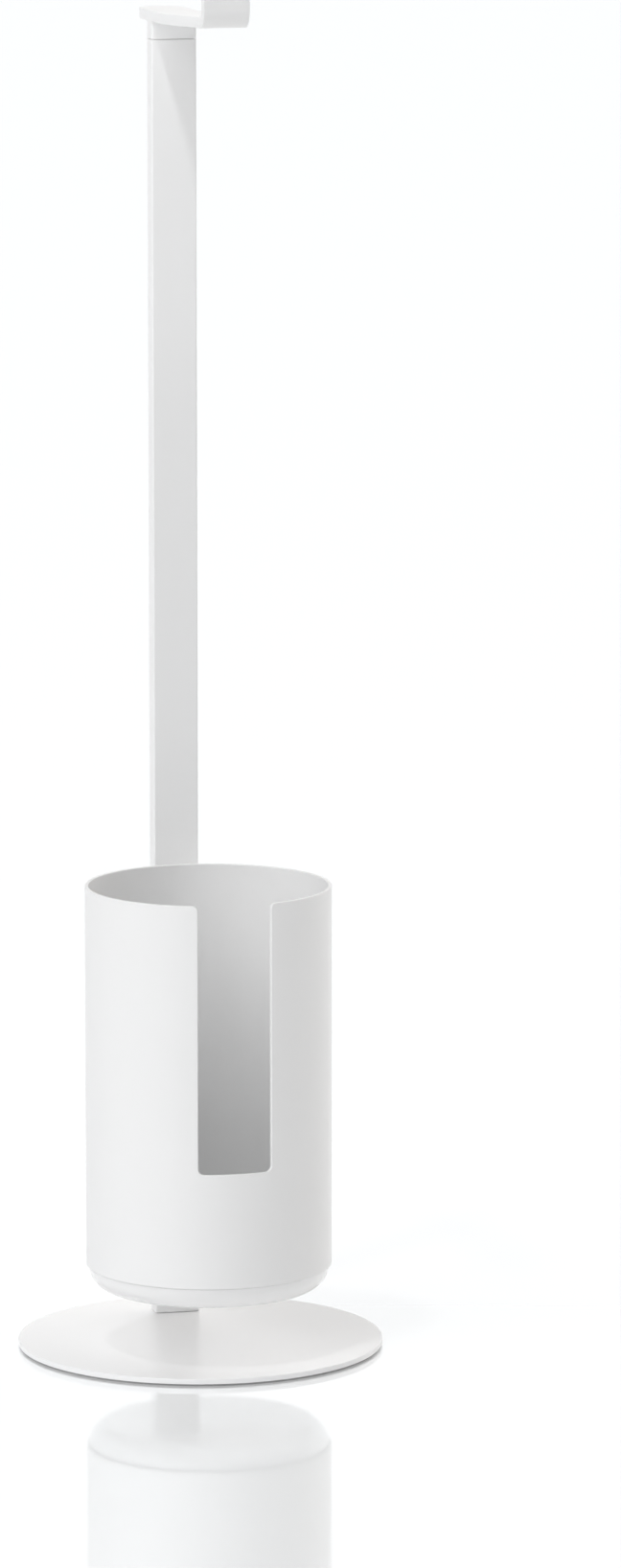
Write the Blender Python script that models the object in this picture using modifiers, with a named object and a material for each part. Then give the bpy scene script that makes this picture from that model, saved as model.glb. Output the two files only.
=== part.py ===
"""Freestanding toilet paper holder with a canister for spare rolls. Metres, +Z up.

The front is -Y: the arm points that way, and the canister's slot opens that way.
The origin is the centre of the round base, on the floor.
"""
import math

import bmesh
import bpy
from mathutils import Matrix

MM = 0.001
NAME = "toilet_paper_holder"

# Fits and counts that several pieces share
SEAT_GAP = 0.3 * MM
CUT_OVERRUN = 3 * MM
JOIN_OVERLAP = 2 * MM
WELD_DISTANCE = 0.002 * MM
WIDE_SEGMENTS = 96
SCREW_SEGMENTS = 24
KEY_SIDES = 6
EDGE_STEPS = 2
CORNER_STEPS = 2
FILLET_STEPS = 6
ROUND_END_STEPS = 16
SMOOTH_ANGLE = math.radians(30)

# Base: a steel disc on a thin rubber pad
PAD_THICKNESS = 0.8 * MM
PAD_INSET = 1.5 * MM
PAD_ACCESS_MARGIN = 0.8 * MM
BASE_DIAMETER = 200 * MM
BASE_THICKNESS = 3 * MM
BASE_EDGE_RADIUS = 0.4 * MM

# Post: an upright rectangular tube behind the canister
POST_WIDTH = 25 * MM
POST_DEPTH = 12 * MM
POST_WALL = 1.5 * MM
POST_CORNER_RADIUS = 1 * MM
POST_BORE_CORNER_RADIUS = 0.5 * MM
POST_FRONT = 58 * MM
POST_LENGTH = 707.5 * MM

# Arm: a flat bar, level over the post, rising a little towards the front and bent up at its tip
ARM_THICKNESS = 6 * MM
ARM_BACK_OVERHANG = 30 * MM
ARM_FRONT_REACH = 129 * MM
ARM_RISE_START = 4 * MM
ARM_RISE_RADIUS = 900 * MM
ARM_RISE_ANGLE = math.radians(2.5)
ARM_RISE_STEPS = 6
ARM_TIP_HEIGHT = 40 * MM
ARM_TIP_BEND_RADIUS = 9.5 * MM
ARM_EDGE_RADIUS = 0.4 * MM
ARM_NECK_HEIGHT = 9.5 * MM
ARM_TONGUE_LENGTH = 30 * MM

# Foot block: plugs the post's lower end and takes the foot screws
FOOT_BLOCK_HEIGHT = 26 * MM
FOOT_SCREW_SPACING = 11 * MM

# Canister: a tube with a slot down its front
CANISTER_DIAMETER = 134 * MM
CANISTER_WALL = 2 * MM
CANISTER_LENGTH = 209.5 * MM
CANISTER_CLEARANCE_BELOW = 46.5 * MM
CANISTER_STANDOFF = 13 * MM
CANISTER_EDGE_RADIUS = 0.5 * MM
SLOT_WIDTH = 40.5 * MM
SLOT_DEPTH = 146.6 * MM
SLOT_TOP_RADIUS = 3 * MM
SLOT_BOTTOM_RADIUS = 3.3 * MM

# Dish: closes the canister below, a step in from its outside, with a collar inside the tube
DISH_STEP = 1.4 * MM
DISH_DEPTH = 12.8 * MM
DISH_CORNER_RADIUS = 12 * MM
DISH_WALL = 2 * MM
DISH_COLLAR_HEIGHT = 10 * MM

# Spacers: two blocks that hold the canister off the post
SPACER_WIDTH = 18 * MM
SPACER_HEIGHT = 26 * MM
SPACER_EDGE_RADIUS = 0.8 * MM
UPPER_SPACER_BELOW_RIM = 42 * MM
LOWER_SPACER_ABOVE_TUBE_END = 38 * MM

# Screws and what they screw into: M5 in the base and the canister, M4 in the arm
M5_RADIUS = 2.5 * MM
M4_RADIUS = 2 * MM
SCREW_CLEARANCE = 0.3 * MM
SCREW_END_CHAMFER = 0.5 * MM
KEY_DEPTH_SHARE = 0.6
DOME_ANGLE = math.radians(50)
FOOT_SCREW_LENGTH = 18 * MM
FOOT_SCREW_HEAD_RADIUS = 4.7 * MM
FOOT_SCREW_HEAD_HEIGHT = 2.5 * MM
FOOT_SCREW_HEAD_RIM = 0.3 * MM
FOOT_SCREW_KEY = 3 * MM
CANISTER_SCREW_LENGTH = 22 * MM
CANISTER_SCREW_HEAD_RADIUS = 4.75 * MM
CANISTER_SCREW_HEAD_HEIGHT = 2.7 * MM
CANISTER_SCREW_KEY = 3 * MM
ARM_SCREW_LENGTH = 8 * MM
ARM_SCREW_HEAD_RADIUS = 3.8 * MM
ARM_SCREW_HEAD_HEIGHT = 2.2 * MM
ARM_SCREW_KEY = 2.5 * MM
UPPER_ARM_SCREW_DROP = 8 * MM
LOWER_ARM_SCREW_DROP = 22 * MM
WASHER_RADIUS = 5.5 * MM
WASHER_THICKNESS = 1 * MM
RIVET_NUT_RADIUS = 3.5 * MM
RIVET_NUT_LENGTH = 7 * MM
RIVET_NUT_FLANGE_RADIUS = 5 * MM
RIVET_NUT_FLANGE_THICKNESS = 0.8 * MM
RIVET_NUT_BULGE_RADIUS = 4.5 * MM
RIVET_NUT_BULGE_LENGTH = 2 * MM

# Levels and places that follow from the sizes above
BASE_BOTTOM = PAD_THICKNESS + SEAT_GAP
BASE_TOP = BASE_BOTTOM + BASE_THICKNESS
POST_BOTTOM = BASE_TOP + SEAT_GAP
POST_TOP = POST_BOTTOM + POST_LENGTH
POST_MIDDLE = POST_FRONT + POST_DEPTH / 2
POST_BACK = POST_FRONT + POST_DEPTH
NECK_BOTTOM = POST_TOP + SEAT_GAP
PLUG_WIDTH = POST_WIDTH - 2 * (POST_WALL + SEAT_GAP)
PLUG_DEPTH = POST_DEPTH - 2 * (POST_WALL + SEAT_GAP)
CANISTER_RADIUS = CANISTER_DIAMETER / 2
CANISTER_BORE_RADIUS = CANISTER_RADIUS - CANISTER_WALL
CANISTER_BACK = POST_FRONT - CANISTER_STANDOFF
CANISTER_AXIS = CANISTER_BACK - CANISTER_RADIUS
CANISTER_BOTTOM = BASE_TOP + CANISTER_CLEARANCE_BELOW
CANISTER_RIM = CANISTER_BOTTOM + CANISTER_LENGTH
WASHER_SAG = CANISTER_BORE_RADIUS - math.sqrt(CANISTER_BORE_RADIUS**2 - WASHER_RADIUS**2)
WASHER_BACK = CANISTER_BACK - CANISTER_WALL - WASHER_SAG - SEAT_GAP
CANISTER_SCREW_SEAT = WASHER_BACK - WASHER_THICKNESS - SEAT_GAP
SPACER_LEVELS = {
    "upper": CANISTER_RIM - UPPER_SPACER_BELOW_RIM,
    "lower": CANISTER_BOTTOM + LOWER_SPACER_ABOVE_TUBE_END,
}
ARM_SCREW_LEVELS = {
    "upper": POST_TOP - UPPER_ARM_SCREW_DROP,
    "lower": POST_TOP - LOWER_ARM_SCREW_DROP,
}
FOOT_SCREW_SIDES = {
    "left": -FOOT_SCREW_SPACING / 2,
    "right": FOOT_SCREW_SPACING / 2,
}

# Turns that lay a shape's own +Z along another axis
TO_BACK = Matrix.Rotation(math.radians(-90), 4, "X")
TO_FRONT = Matrix.Rotation(math.radians(90), 4, "X")
TO_FLOOR = Matrix.Rotation(math.radians(180), 4, "X")


def clear_scene():
    """Removes what the startup file holds."""
    for item in list(bpy.data.objects):
        bpy.data.objects.remove(item)


def new_collection(name):
    """A collection under the scene's own."""
    group = bpy.data.collections.new(name)
    bpy.context.scene.collection.children.link(group)
    return group


def arc(centre, radius, start, end, steps):
    """Points along an arc between two angles, both ends included."""
    angles = [start + (end - start) * i / steps for i in range(steps + 1)]
    return [(centre[0] + radius * math.cos(a), centre[1] + radius * math.sin(a)) for a in angles]


def rounded_rectangle(width, depth, radius, steps=CORNER_STEPS):
    """Outline of a rectangle about its centre, with round corners."""
    x, y = width / 2 - radius, depth / 2 - radius
    quarter = math.pi / 2
    corners = ((x, y), (-x, y), (-x, -y), (x, -y))
    points = []
    for i, corner in enumerate(corners):
        points += arc(corner, radius, i * quarter, (i + 1) * quarter, steps)
    return points


def mesh_object(name, mesh, group, turn=None, place=(0, 0, 0)):
    """An object for the mesh, turned about its own origin and set in its place."""
    piece = bpy.data.objects.new(name, mesh)
    group.objects.link(piece)
    piece.matrix_world = Matrix.Translation(place) @ (turn or Matrix.Identity(4))
    return piece


def turned(name, profile, segments, closed, group, turn=None, place=(0, 0, 0)):
    """A profile of (radius, height) points turned about Z. It runs down its outer side.
    A closed profile makes a ring, and an open one starts and ends on the axis."""
    mesh = bpy.data.meshes.new(name)
    edges = [(i, i + 1) for i in range(len(profile) - 1)]
    if closed:
        edges.append((len(profile) - 1, 0))
    mesh.from_pydata([(r, 0, z) for r, z in profile], edges, [])
    piece = mesh_object(name, mesh, group, turn, place)
    spin = piece.modifiers.new("turn", "SCREW")
    spin.axis = "Z"
    spin.steps = segments
    spin.render_steps = segments
    spin.use_merge_vertices = True
    spin.merge_threshold = WELD_DISTANCE
    return piece


def plate(name, outlines, thickness, group, turn=None, place=(0, 0, 0)):
    """A flat plate about its middle plane, from an outline and any holes in it."""
    curve = bpy.data.curves.new(name, "CURVE")
    curve.dimensions = "2D"
    curve.fill_mode = "BOTH"
    curve.extrude = thickness / 2
    for outline in outlines:
        spline = curve.splines.new("POLY")
        spline.points.add(len(outline) - 1)
        spline.use_cyclic_u = True
        for point, (x, y) in zip(spline.points, outline):
            point.co = (x, y, 0, 1)
    guide = bpy.data.objects.new(name, curve)
    bpy.context.scene.collection.objects.link(guide)
    bpy.context.view_layer.update()
    mesh = bpy.data.meshes.new_from_object(guide.evaluated_get(bpy.context.evaluated_depsgraph_get()))
    bpy.data.objects.remove(guide)
    bm = bmesh.new()
    bm.from_mesh(mesh)
    bmesh.ops.remove_doubles(bm, verts=bm.verts, dist=WELD_DISTANCE)
    bmesh.ops.recalc_face_normals(bm, faces=bm.faces)
    bm.to_mesh(mesh)
    bm.free()
    return mesh_object(name, mesh, group, turn, place)


def prism(name, radius, length, sides, group, turn=None, place=(0, 0, 0)):
    """A closed cylinder or prism whose lower end is at its origin."""
    bm = bmesh.new()
    bmesh.ops.create_cone(
        bm, cap_ends=True, segments=sides, radius1=radius, radius2=radius, depth=length,
        matrix=Matrix.Translation((0, 0, length / 2)),
    )
    mesh = bpy.data.meshes.new(name)
    bm.to_mesh(mesh)
    bm.free()
    return mesh_object(name, mesh, group, turn, place)


def block(name, size, radius, group, place=(0, 0, 0)):
    """A box about its centre, with rounded edges."""
    bm = bmesh.new()
    bmesh.ops.create_cube(bm, size=1, matrix=Matrix.Diagonal((*size, 1)))
    mesh = bpy.data.meshes.new(name)
    bm.to_mesh(mesh)
    bm.free()
    piece = mesh_object(name, mesh, group, place=place)
    soften(piece, radius)
    return piece


def soften(piece, radius):
    """Rounds the edges of a piece."""
    bevel = piece.modifiers.new("soften", "BEVEL")
    bevel.width = radius
    bevel.segments = EDGE_STEPS
    bevel.limit_method = "ANGLE"
    bevel.angle_limit = SMOOTH_ANGLE


def combine(piece, tool, operation="DIFFERENCE"):
    """Cuts the piece by a tool, or joins the tool to it. The tool stays as a hidden guide."""
    change = piece.modifiers.new(tool.name, "BOOLEAN")
    change.operation = operation
    change.solver = "EXACT"
    change.object = tool
    tool.hide_render = True
    tool.display_type = "WIRE"


def drill(piece, name, radius, length, tools, turn=None, place=(0, 0, 0)):
    """Cuts a round hole that starts at its place and runs along its own +Z."""
    combine(piece, prism(name, radius, length, SCREW_SEGMENTS, tools, turn, place))


def finish(piece, parent, colour, roughness, metallic):
    """Gives a piece its own material, smooth round faces and its parent."""
    material = bpy.data.materials.new(piece.name)
    material.use_nodes = True
    shader = material.node_tree.nodes["Principled BSDF"]
    shader.inputs["Base Color"].default_value = (*colour, 1)
    shader.inputs["Roughness"].default_value = roughness
    shader.inputs["Metallic"].default_value = metallic
    piece.data.materials.append(material)
    if piece.data.polygons:
        piece.data.shade_smooth()
        piece.data.set_sharp_from_angle(angle=SMOOTH_ANGLE)
    piece.parent = parent


def powder_coated(piece, parent):
    """White powder coat on steel."""
    finish(piece, parent, (0.86, 0.86, 0.855), 0.45, 0)


def zinc_plated(piece, parent):
    """Bright zinc on a steel fastener."""
    finish(piece, parent, (0.66, 0.67, 0.69), 0.32, 1)


def moulded(piece, parent):
    """White moulded plastic."""
    finish(piece, parent, (0.82, 0.82, 0.81), 0.5, 0)


def rubber(piece, parent):
    """Dark grey rubber."""
    finish(piece, parent, (0.05, 0.05, 0.052), 0.8, 0)


def key_recess(name, across, depth, turn, place, tools):
    """The hexagonal recess in a screw's head, opening at its place along its own +Z."""
    radius = across / 2 / math.cos(math.pi / KEY_SIDES)
    start = Matrix.Translation(place) @ turn @ Matrix.Translation((0, 0, -depth))
    socket = prism(name, radius, depth + CUT_OVERRUN, KEY_SIDES, tools)
    socket.matrix_world = start
    return socket


def countersunk_profile(grow=0, overrun=0):
    """A countersunk screw standing on its head, or the hole for it."""
    shank = M5_RADIUS + grow
    head = FOOT_SCREW_HEAD_RADIUS + grow
    top = FOOT_SCREW_LENGTH + grow
    chamfer = SCREW_END_CHAMFER
    return [
        (0, top), (shank - chamfer, top), (shank, top - chamfer), (shank, FOOT_SCREW_HEAD_HEIGHT),
        (head, FOOT_SCREW_HEAD_RIM), (head, -overrun), (0, -overrun),
    ]


def button_screw(name, radius, length, head_radius, head_height, key, turn, place, pieces, tools):
    """A button-head screw. Its origin is under the head, and its shank runs along its own -Z."""
    dome_radius = head_radius / math.sin(DOME_ANGLE)
    centre = (0, head_height - dome_radius)
    flank = math.pi / 2 - math.asin(min(1, head_radius / dome_radius))
    dome = arc(centre, dome_radius, math.pi / 2, flank, CORNER_STEPS)
    chamfer = SCREW_END_CHAMFER
    profile = [(max(0, r), z) for r, z in dome if z > 0] + [(head_radius, 0)]
    profile += [(radius, 0), (radius, chamfer - length), (radius - chamfer, -length), (0, -length)]
    screw = turned(name, profile, SCREW_SEGMENTS, False, pieces, turn, place)
    seat = Matrix.Translation(place) @ turn @ Matrix.Translation((0, 0, head_height))
    depth = head_height * KEY_DEPTH_SHARE
    combine(screw, key_recess(name + "_key", key, depth, seat.to_3x3().to_4x4(), seat.translation, tools))
    return screw


def make_base(root, pieces, tools):
    """The pad, the steel disc and the two screws that come up through it into the post."""
    reach = FOOT_SCREW_HEAD_RADIUS + PAD_ACCESS_MARGIN
    pad_radius = BASE_DIAMETER / 2 - PAD_INSET
    pad_profile = [(0, PAD_THICKNESS), (pad_radius, PAD_THICKNESS), (pad_radius, 0), (0, 0)]
    pad = turned("base_pad", pad_profile, WIDE_SEGMENTS, False, pieces)
    access = rounded_rectangle(FOOT_SCREW_SPACING + 2 * reach, 2 * reach, reach, FILLET_STEPS)
    thickness = PAD_THICKNESS + 2 * CUT_OVERRUN
    combine(pad, plate("pad_access", [access], thickness, tools, place=(0, POST_MIDDLE, 0)))
    rubber(pad, root)

    radius, edge = BASE_DIAMETER / 2, BASE_EDGE_RADIUS
    quarter = math.pi / 2
    rim = arc((radius - edge, BASE_THICKNESS - edge), edge, quarter, 0, CORNER_STEPS)
    rim += arc((radius - edge, edge), edge, 0, -quarter, CORNER_STEPS)
    profile = [(0, BASE_THICKNESS), *rim, (0, 0)]
    disc = turned("base_plate", profile, WIDE_SEGMENTS, False, pieces, place=(0, 0, BASE_BOTTOM))
    for side, x in FOOT_SCREW_SIDES.items():
        place = (x, POST_MIDDLE, BASE_BOTTOM)
        hole = countersunk_profile(SCREW_CLEARANCE, CUT_OVERRUN)
        combine(disc, turned("foot_hole_" + side, hole, SCREW_SEGMENTS, False, tools, place=place))
        screw = turned(
            "foot_screw_" + side, countersunk_profile(), SCREW_SEGMENTS, False, pieces, place=place
        )
        depth = FOOT_SCREW_HEAD_HEIGHT * KEY_DEPTH_SHARE
        combine(screw, key_recess("foot_key_" + side, FOOT_SCREW_KEY, depth, TO_FLOOR, place, tools))
        zinc_plated(screw, root)
    powder_coated(disc, root)


def make_post(root, pieces, tools):
    """The rectangular tube and the block that plugs its lower end."""
    outside = rounded_rectangle(POST_WIDTH, POST_DEPTH, POST_CORNER_RADIUS)
    inside = rounded_rectangle(
        POST_WIDTH - 2 * POST_WALL, POST_DEPTH - 2 * POST_WALL, POST_BORE_CORNER_RADIUS
    )
    middle = (0, POST_MIDDLE, POST_BOTTOM + POST_LENGTH / 2)
    post = plate("post_tube", [outside, inside], POST_LENGTH, pieces, place=middle)
    length = POST_WALL + 2 * CUT_OVERRUN
    for level, z in SPACER_LEVELS.items():
        place = (0, POST_FRONT - CUT_OVERRUN, z)
        radius = RIVET_NUT_RADIUS + SCREW_CLEARANCE
        drill(post, "post_front_hole_" + level, radius, length, tools, TO_BACK, place)
    for level, z in ARM_SCREW_LEVELS.items():
        place = (0, POST_BACK + CUT_OVERRUN, z)
        radius = M4_RADIUS + SCREW_CLEARANCE
        drill(post, "post_back_hole_" + level, radius, length, tools, TO_FRONT, place)
    powder_coated(post, root)

    middle = (0, POST_MIDDLE, POST_BOTTOM + FOOT_BLOCK_HEIGHT / 2)
    outline = rounded_rectangle(PLUG_WIDTH, PLUG_DEPTH, POST_BORE_CORNER_RADIUS)
    foot = plate("foot_block", [outline], FOOT_BLOCK_HEIGHT, pieces, place=middle)
    for side, x in FOOT_SCREW_SIDES.items():
        place = (x, POST_MIDDLE, POST_BOTTOM - CUT_OVERRUN)
        length = FOOT_BLOCK_HEIGHT + 2 * CUT_OVERRUN
        drill(foot, "foot_block_hole_" + side, M5_RADIUS + SCREW_CLEARANCE, length, tools, place=place)
    zinc_plated(foot, root)


def arm_path():
    """Stations along the arm's underside, back to front: (y, z, half width), from the neck's middle."""
    half = POST_WIDTH / 2
    back = POST_DEPTH / 2 + ARM_BACK_OVERHANG
    front = -POST_DEPTH / 2 - ARM_FRONT_REACH
    rise_start = -POST_DEPTH / 2 - ARM_RISE_START
    turn = math.pi / ROUND_END_STEPS
    end_angles = [(i + 0.5) * turn for i in range(ROUND_END_STEPS // 2)]
    stations = [(back - half * (1 - math.cos(a)), 0, half * math.sin(a)) for a in end_angles]
    stations.append((back - half, 0, half))
    quarter = math.pi / 2
    rise = arc(
        (rise_start, ARM_RISE_RADIUS), ARM_RISE_RADIUS, -quarter, -quarter - ARM_RISE_ANGLE, ARM_RISE_STEPS
    )
    stations += [(y, z, half) for y, z in rise]
    y, z = rise[-1]
    centre_y = front + ARM_TIP_BEND_RADIUS
    run = y - centre_y
    centre_z = z + (ARM_TIP_BEND_RADIUS + run * math.sin(ARM_RISE_ANGLE)) / math.cos(ARM_RISE_ANGLE)
    bend = arc((centre_y, centre_z), ARM_TIP_BEND_RADIUS, -quarter - ARM_RISE_ANGLE, -math.pi, FILLET_STEPS)
    stations += [(y, z, half) for y, z in bend]
    stations.append((front, ARM_TIP_HEIGHT - half, half))
    for a in reversed(end_angles):
        stations.append((front, ARM_TIP_HEIGHT - half * (1 - math.cos(a)), half * math.sin(a)))
    return stations


def make_arm(root, pieces, tools):
    """The bent bar, with the neck that stands on the post and the tongue that goes down into it."""
    stations = arm_path()
    mesh = bpy.data.meshes.new("arm")
    points = []
    for y, z, half in stations:
        points += [(-half, y, z), (half, y, z)]
    faces = [(2 * i, 2 * i + 1, 2 * i + 3, 2 * i + 2) for i in range(len(stations) - 1)]
    mesh.from_pydata(points, [], faces)
    underside = NECK_BOTTOM + ARM_NECK_HEIGHT
    arm = mesh_object("arm", mesh, pieces, place=(0, POST_MIDDLE, underside))
    thicken = arm.modifiers.new("thicken", "SOLIDIFY")
    thicken.thickness = ARM_THICKNESS
    thicken.offset = -1
    thicken.use_even_offset = True
    soften(arm, ARM_EDGE_RADIUS)

    height = ARM_NECK_HEIGHT + JOIN_OVERLAP
    outline = rounded_rectangle(POST_WIDTH, POST_DEPTH, POST_CORNER_RADIUS)
    middle = (0, POST_MIDDLE, NECK_BOTTOM + height / 2)
    combine(arm, plate("arm_neck", [outline], height, tools, place=middle), "UNION")

    height = ARM_TONGUE_LENGTH + JOIN_OVERLAP
    outline = rounded_rectangle(PLUG_WIDTH, PLUG_DEPTH, POST_BORE_CORNER_RADIUS)
    middle = (0, POST_MIDDLE, NECK_BOTTOM + JOIN_OVERLAP - height / 2)
    combine(arm, plate("arm_tongue", [outline], height, tools, place=middle), "UNION")

    for level, z in ARM_SCREW_LEVELS.items():
        place = (0, POST_BACK + CUT_OVERRUN, z)
        length = POST_DEPTH + 2 * CUT_OVERRUN
        drill(arm, "arm_hole_" + level, M4_RADIUS + SCREW_CLEARANCE, length, tools, TO_FRONT, place)
        screw = button_screw(
            "arm_screw_" + level, M4_RADIUS, ARM_SCREW_LENGTH, ARM_SCREW_HEAD_RADIUS, ARM_SCREW_HEAD_HEIGHT,
            ARM_SCREW_KEY, TO_BACK, (0, POST_BACK + SEAT_GAP, z), pieces, tools,
        )
        zinc_plated(screw, root)
    powder_coated(arm, root)


def slot_outline():
    """The slot in the canister seen from the front, flared at the rim to round the corners beside it."""
    half = SLOT_WIDTH / 2
    bottom = CANISTER_RIM - SLOT_DEPTH
    top = CANISTER_RIM + CUT_OVERRUN
    quarter = math.pi / 2
    low, high = SLOT_BOTTOM_RADIUS, SLOT_TOP_RADIUS
    right = arc((half - low, bottom + low), low, -quarter, 0, CORNER_STEPS + 1)
    right += arc((half + high, CANISTER_RIM - high), high, math.pi, quarter, CORNER_STEPS + 1)
    right.append((half + high, top))
    left = [(-x, z) for x, z in reversed(right)]
    return right + left


def make_canister(root, pieces, tools):
    """The slotted tube and the dish that closes it below."""
    outer, inner, edge = CANISTER_RADIUS, CANISTER_BORE_RADIUS, CANISTER_EDGE_RADIUS
    quarter = math.pi / 2
    profile = arc((outer - edge, CANISTER_LENGTH - edge), edge, quarter, 0, CORNER_STEPS)
    profile += arc((outer - edge, edge), edge, 0, -quarter, CORNER_STEPS)
    profile += arc((inner + edge, edge), edge, -quarter, -2 * quarter, CORNER_STEPS)
    profile += arc((inner + edge, CANISTER_LENGTH - edge), edge, 2 * quarter, quarter, CORNER_STEPS)
    place = (0, CANISTER_AXIS, CANISTER_BOTTOM)
    tube = turned("canister_tube", profile, WIDE_SEGMENTS, True, pieces, place=place)
    near, far = CANISTER_BORE_RADIUS / 2, CANISTER_RADIUS + CUT_OVERRUN
    middle = (0, CANISTER_AXIS - (near + far) / 2, 0)
    cut = plate("slot_cut", [slot_outline()], far - near, tools, TO_FRONT, middle)
    # The sheet is cut before it is rolled, so the slot's sides point at the tube's axis
    side_distance = math.sqrt(CANISTER_RADIUS**2 - (SLOT_WIDTH / 2) ** 2)
    for vertex in cut.data.vertices:
        vertex.co.x *= ((near + far) / 2 + vertex.co.z) / side_distance
    combine(tube, cut)
    for level, z in SPACER_LEVELS.items():
        place = (0, CANISTER_BACK - CANISTER_WALL - CUT_OVERRUN, z)
        length = CANISTER_WALL + 2 * CUT_OVERRUN
        drill(tube, "canister_hole_" + level, M5_RADIUS + SCREW_CLEARANCE, length, tools, TO_BACK, place)
    powder_coated(tube, root)

    dish_radius = CANISTER_RADIUS - DISH_STEP
    collar_radius = CANISTER_BORE_RADIUS - SEAT_GAP
    inside_radius = collar_radius - DISH_WALL
    shoulder = DISH_DEPTH - SEAT_GAP
    fillet = min(DISH_CORNER_RADIUS, shoulder)
    top = shoulder + DISH_COLLAR_HEIGHT
    inner_fillet = fillet - DISH_WALL
    profile = [(inside_radius, top), (collar_radius, top)]
    profile += [(collar_radius, shoulder), (dish_radius, shoulder)]
    profile += arc((dish_radius - fillet, fillet), fillet, 0, -quarter, FILLET_STEPS)
    profile += [(0, 0), (0, DISH_WALL)]
    profile += arc((inside_radius - inner_fillet, fillet), inner_fillet, -quarter, 0, FILLET_STEPS)
    place = (0, CANISTER_AXIS, CANISTER_BOTTOM - DISH_DEPTH)
    dish = turned("canister_dish", profile, WIDE_SEGMENTS, True, pieces, place=place)
    powder_coated(dish, root)


def make_canister_fixing(level, z, root, pieces, tools):
    """One spacer between canister and post, with its screw, washer and rivet nut."""
    half = SPACER_WIDTH / 2
    sag = CANISTER_RADIUS - math.sqrt(CANISTER_RADIUS**2 - half**2)
    depth = CANISTER_STANDOFF - SEAT_GAP + sag
    middle = (0, POST_FRONT - SEAT_GAP - depth / 2, z)
    size = (SPACER_WIDTH, depth, SPACER_HEIGHT)
    spacer = block("canister_spacer_" + level, size, SPACER_EDGE_RADIUS, pieces, middle)
    hollow = SPACER_HEIGHT + 2 * CUT_OVERRUN
    place = (0, CANISTER_AXIS, z - hollow / 2)
    radius = CANISTER_RADIUS + SEAT_GAP
    combine(spacer, prism("spacer_hollow_" + level, radius, hollow, WIDE_SEGMENTS, tools, place=place))
    bore = M5_RADIUS + SCREW_CLEARANCE
    place = (0, CANISTER_BACK - CUT_OVERRUN, z)
    drill(spacer, "spacer_hole_" + level, bore, CANISTER_STANDOFF + 2 * CUT_OVERRUN, tools, TO_BACK, place)
    seat = RIVET_NUT_FLANGE_THICKNESS + 2 * SEAT_GAP
    place = (0, POST_FRONT - seat, z)
    radius = RIVET_NUT_FLANGE_RADIUS + SCREW_CLEARANCE
    drill(spacer, "spacer_recess_" + level, radius, seat + CUT_OVERRUN, tools, TO_BACK, place)
    moulded(spacer, root)

    name = "canister_washer_" + level
    ring = [(WASHER_RADIUS, WASHER_THICKNESS), (WASHER_RADIUS, 0), (bore, 0), (bore, WASHER_THICKNESS)]
    washer = turned(name, ring, SCREW_SEGMENTS, True, pieces, TO_FRONT, (0, WASHER_BACK, z))
    zinc_plated(washer, root)

    place = (0, CANISTER_SCREW_SEAT, z)
    screw = button_screw(
        "canister_screw_" + level, M5_RADIUS, CANISTER_SCREW_LENGTH, CANISTER_SCREW_HEAD_RADIUS,
        CANISTER_SCREW_HEAD_HEIGHT, CANISTER_SCREW_KEY, TO_FRONT, place, pieces, tools,
    )
    zinc_plated(screw, root)

    flange, body, bulge = RIVET_NUT_FLANGE_RADIUS, RIVET_NUT_RADIUS, RIVET_NUT_BULGE_RADIUS
    neck_end = POST_WALL + 2 * SEAT_GAP
    bulge_end = neck_end + RIVET_NUT_BULGE_LENGTH
    profile = [
        (bore, RIVET_NUT_FLANGE_THICKNESS), (flange, RIVET_NUT_FLANGE_THICKNESS), (flange, 0), (body, 0),
        (body, -neck_end), (bulge, -neck_end), (bulge, -bulge_end), (body, -bulge_end),
        (body, -RIVET_NUT_LENGTH), (bore, -RIVET_NUT_LENGTH),
    ]
    place = (0, POST_FRONT - SEAT_GAP, z)
    nut = turned("rivet_nut_" + level, profile, SCREW_SEGMENTS, True, pieces, TO_FRONT, place)
    zinc_plated(nut, root)


def main():
    clear_scene()
    pieces = new_collection(NAME)
    tools = new_collection(NAME + "_cutters")
    root = bpy.data.objects.new(NAME + "_origin", None)
    pieces.objects.link(root)
    make_base(root, pieces, tools)
    make_post(root, pieces, tools)
    make_arm(root, pieces, tools)
    make_canister(root, pieces, tools)
    for level, z in SPACER_LEVELS.items():
        make_canister_fixing(level, z, root, pieces, tools)


main()
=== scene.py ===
"""Looks of the freestanding toilet paper holder: fine surfaces, finishes, floor, light and camera."""

import math

import bpy
import numpy as np
from mathutils import Matrix, Vector
from mathutils.geometry import delaunay_2d_cdt


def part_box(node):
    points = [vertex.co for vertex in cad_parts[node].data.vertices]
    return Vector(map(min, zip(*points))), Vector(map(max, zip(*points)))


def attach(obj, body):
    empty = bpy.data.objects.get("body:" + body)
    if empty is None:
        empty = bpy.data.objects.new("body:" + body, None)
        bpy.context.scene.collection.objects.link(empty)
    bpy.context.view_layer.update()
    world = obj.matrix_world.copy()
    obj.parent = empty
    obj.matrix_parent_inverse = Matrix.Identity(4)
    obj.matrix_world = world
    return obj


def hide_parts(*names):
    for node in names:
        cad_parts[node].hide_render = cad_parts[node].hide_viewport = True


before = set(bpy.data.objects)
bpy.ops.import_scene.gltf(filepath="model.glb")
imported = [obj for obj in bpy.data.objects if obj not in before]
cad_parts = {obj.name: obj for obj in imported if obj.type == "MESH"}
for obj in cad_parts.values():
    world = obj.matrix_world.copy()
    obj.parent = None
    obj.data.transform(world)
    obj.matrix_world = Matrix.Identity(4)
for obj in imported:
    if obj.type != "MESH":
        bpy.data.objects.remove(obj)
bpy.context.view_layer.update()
MM = 0.001
QUARTER = math.pi / 2
TURN = 2 * math.pi

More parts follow.
